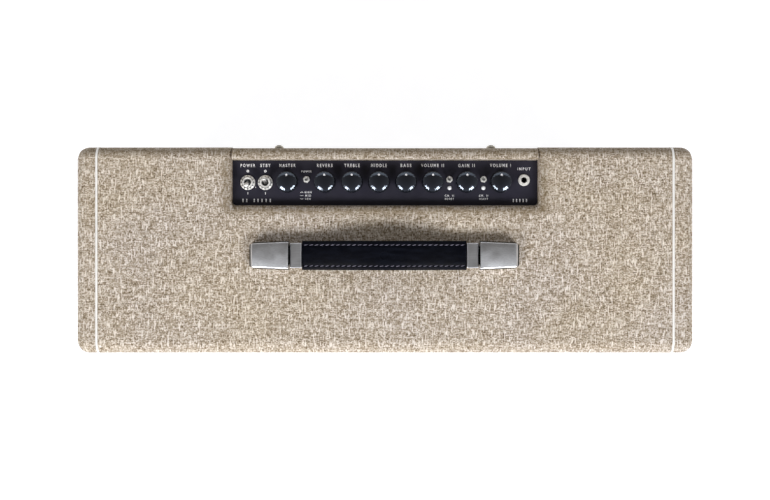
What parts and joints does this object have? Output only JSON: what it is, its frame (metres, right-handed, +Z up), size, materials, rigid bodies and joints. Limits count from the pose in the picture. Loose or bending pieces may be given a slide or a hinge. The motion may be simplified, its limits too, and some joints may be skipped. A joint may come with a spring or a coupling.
{
  "type": "guitar amplifier",
  "caption": "Valve combo amplifier with a slanted covered cabinet, recessed top controls, an arched strap handle and twin speakers behind a grille.",
  "frame": {"origin": "centre of the footprint at floor level, under the feet", "axes": "+X along the cabinet's width to the player's right, +Y to the rear, +Z up"},
  "size_m": [0.672, 0.2648, 0.5299],
  "materials": {
    "plywood": "bare birch plywood",
    "textured_vinyl": "fawn linen-look cloth-backed vinyl",
    "white_piping": "satin white cord",
    "grille_cloth": "dark woven cloth",
    "foot_rubber": "matt black rubber",
    "speaker_basket": "black pressed steel",
    "speaker_magnet": "dark ferrite and steel plates",
    "cone_paper": "ribbed paper pulp",
    "control_panel": "satin black with white print",
    "chassis_steel": "zinc-plated sheet",
    "circuit_board": "green glass-epoxy board",
    "knob_plastic": "gloss black",
    "bright_metal": "bright nickel",
    "screw_metal": "dull nickel",
    "lamp_lens": "clear white lens",
    "handle_leather": "black grained leather, stitched",
    "satin_nickel": "satin nickel plate",
    "black_moulding": "black moulded plastic",
    "transformer_paint": "black enamel",
    "valve_glass": "clear glass with dark metal inside"
  },
  "bodies": {
    "root": {"top_board": "plywood", "bottom_board": "plywood", "side_board_left": "plywood", "side_board_right": "plywood", "baffle_board": "plywood", "grille_frame": "plywood", "covering_left": "textured_vinyl", "covering_centre": "textured_vinyl", "covering_right": "textured_vinyl", "upper_rear_panel": "textured_vinyl", "lower_rear_panel": "textured_vinyl", "piping_left": "white_piping", "piping_right": "white_piping", "grille_piping": "white_piping", "grille_cloth": "grille_cloth", "foot_front_left": "foot_rubber", "foot_front_right": "foot_rubber", "foot_rear_left": "foot_rubber", "foot_rear_right": "foot_rubber", "speaker_basket_left": "speaker_basket", "speaker_basket_right": "speaker_basket", "speaker_magnet_left": "speaker_magnet", "speaker_magnet_right": "speaker_magnet", "control_panel": "control_panel", "chassis_lid": "chassis_steel", "chassis_tray": "chassis_steel", "circuit_board": "circuit_board", "valve_socket_board": "circuit_board", "input_jack": "bright_metal", "rear_screw_left": "screw_metal", "rear_screw_right": "screw_metal", "indicator_lamps": "lamp_lens", "handle_cap_left": "satin_nickel", "handle_cap_right": "satin_nickel", "mains_inlet": "black_moulding", "rear_jack_strip": "black_moulding", "mains_transformer": "transformer_paint", "output_transformer": "transformer_paint", "power_valve_left": "valve_glass", "power_valve_right": "valve_glass", "preamp_valve_left": "valve_glass", "preamp_valve_right": "valve_glass"},
    "knob_master": {"knob_master": "knob_plastic"},
    "knob_reverb": {"knob_reverb": "knob_plastic"},
    "knob_treble": {"knob_treble": "knob_plastic"},
    "knob_middle": {"knob_middle": "knob_plastic"},
    "knob_bass": {"knob_bass": "knob_plastic"},
    "knob_volume_two": {"knob_volume_two": "knob_plastic"},
    "knob_gain_two": {"knob_gain_two": "knob_plastic"},
    "knob_volume_one": {"knob_volume_one": "knob_plastic"},
    "lever_power": {"lever_power": "bright_metal"},
    "lever_standby": {"lever_standby": "bright_metal"},
    "lever_sag": {"lever_sag": "bright_metal"},
    "lever_boost": {"lever_boost": "bright_metal"},
    "lever_channel": {"lever_channel": "bright_metal"},
    "cone_left": {"speaker_cone_left": "cone_paper"},
    "cone_right": {"speaker_cone_right": "cone_paper"},
    "grip": {"handle_strap": "handle_leather", "handle_collar_left": "satin_nickel", "handle_collar_right": "satin_nickel"}
  },
  "joints": [
    {"name": "master_turn", "type": "hinge", "parent": "root", "child": "knob_master", "pos_m": [-0.1068, 0.0921, 0.4865], "axis": [0, 0, -1], "range_deg": [-150, 150]},
    {"name": "reverb_turn", "type": "hinge", "parent": "root", "child": "knob_reverb", "pos_m": [-0.0658, 0.0921, 0.4865], "axis": [0, 0, -1], "range_deg": [-150, 150]},
    {"name": "treble_turn", "type": "hinge", "parent": "root", "child": "knob_treble", "pos_m": [-0.0361, 0.0921, 0.4865], "axis": [0, 0, -1], "range_deg": [-150, 150]},
    {"name": "middle_turn", "type": "hinge", "parent": "root", "child": "knob_middle", "pos_m": [-0.0066, 0.0921, 0.4865], "axis": [0, 0, -1], "range_deg": [-150, 150]},
    {"name": "bass_turn", "type": "hinge", "parent": "root", "child": "knob_bass", "pos_m": [0.0229, 0.0921, 0.4865], "axis": [0, 0, -1], "range_deg": [-150, 150]},
    {"name": "volume_two_turn", "type": "hinge", "parent": "root", "child": "knob_volume_two", "pos_m": [0.052, 0.0921, 0.4865], "axis": [0, 0, -1], "range_deg": [-150, 150]},
    {"name": "gain_two_turn", "type": "hinge", "parent": "root", "child": "knob_gain_two", "pos_m": [0.0892, 0.0921, 0.4865], "axis": [0, 0, -1], "range_deg": [-150, 150]},
    {"name": "volume_one_turn", "type": "hinge", "parent": "root", "child": "knob_volume_one", "pos_m": [0.1263, 0.0921, 0.4865], "axis": [0, 0, -1], "range_deg": [-150, 150]},
    {"name": "power_switch", "type": "hinge", "parent": "root", "child": "lever_power", "pos_m": [-0.1501, 0.0915, 0.4871], "axis": [1, 0, 0], "range_deg": [-26, 0]},
    {"name": "standby_switch", "type": "hinge", "parent": "root", "child": "lever_standby", "pos_m": [-0.1309, 0.0915, 0.4871], "axis": [1, 0, 0], "range_deg": [0, 26]},
    {"name": "sag_switch", "type": "hinge", "parent": "root", "child": "lever_sag", "pos_m": [-0.0859, 0.095, 0.4867], "axis": [1, 0, 0], "range_deg": [0, 26]},
    {"name": "boost_switch", "type": "hinge", "parent": "root", "child": "lever_boost", "pos_m": [0.0705, 0.095, 0.4867], "axis": [1, 0, 0], "range_deg": [0, 26]},
    {"name": "channel_switch", "type": "hinge", "parent": "root", "child": "lever_channel", "pos_m": [0.1078, 0.095, 0.4867], "axis": [1, 0, 0], "range_deg": [0, 26]},
    {"name": "cone_left_travel", "type": "slide", "parent": "root", "child": "cone_left", "axis": [0, 0.997, -0.0778], "range_m": [-0.003, 0.003], "stiffness_N_per_m": 2500},
    {"name": "cone_right_travel", "type": "slide", "parent": "root", "child": "cone_right", "axis": [0, 0.997, -0.0778], "range_m": [-0.003, 0.003], "stiffness_N_per_m": 2500},
    {"name": "handle_lift", "type": "slide", "parent": "root", "child": "grip", "axis": [0, 0, 1], "range_m": [0, 0.006]}
  ]
}
